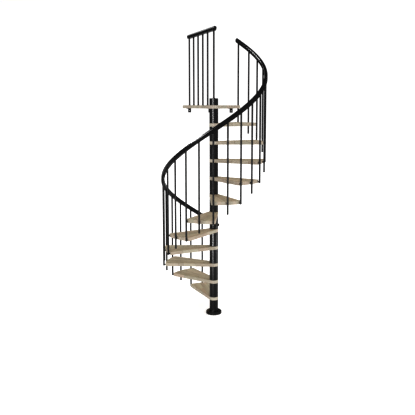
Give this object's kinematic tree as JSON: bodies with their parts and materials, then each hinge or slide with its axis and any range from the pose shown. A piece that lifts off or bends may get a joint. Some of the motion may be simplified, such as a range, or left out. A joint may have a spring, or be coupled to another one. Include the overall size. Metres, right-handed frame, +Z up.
{
  "type": "spiral staircase",
  "caption": "Spiral staircase with wooden wedge treads on a black steel column, round balusters, a helical handrail and a landing with a straight rail.",
  "frame": {"origin": "middle of the base flange's underside, on the column's axis", "axes": "+Z up the column; +X to the right and +Y away from the picture's camera"},
  "size_m": [1.3081, 1.6494, 3.5869],
  "materials": {
    "black_steel": "satin black powder coat",
    "oak": "matt lacquered oak, glued staves",
    "black_rail": "satin black moulded rail"
  },
  "bodies": {
    "root": {"base_flange": "black_steel", "central_pole": "black_steel", "pole_cap": "black_steel", "start_baluster": "black_steel", "landing_balusters": "black_steel", "landing_brackets": "black_steel", "spacer_01": "black_steel", "spacer_02": "black_steel", "spacer_03": "black_steel", "spacer_04": "black_steel", "spacer_05": "black_steel", "spacer_06": "black_steel", "spacer_07": "black_steel", "spacer_08": "black_steel", "spacer_09": "black_steel", "spacer_10": "black_steel", "spacer_11": "black_steel", "spacer_12": "black_steel", "balusters_01": "black_steel", "balusters_02": "black_steel", "balusters_03": "black_steel", "balusters_04": "black_steel", "balusters_05": "black_steel", "balusters_06": "black_steel", "balusters_07": "black_steel", "balusters_08": "black_steel", "balusters_09": "black_steel", "balusters_10": "black_steel", "balusters_11": "black_steel", "tread_01": "oak", "tread_02": "oak", "tread_03": "oak", "tread_04": "oak", "tread_05": "oak", "tread_06": "oak", "tread_07": "oak", "tread_08": "oak", "tread_09": "oak", "tread_10": "oak", "tread_11": "oak", "landing": "oak", "handrail": "black_rail", "landing_rail": "black_rail"}
  },
  "joints": []
}
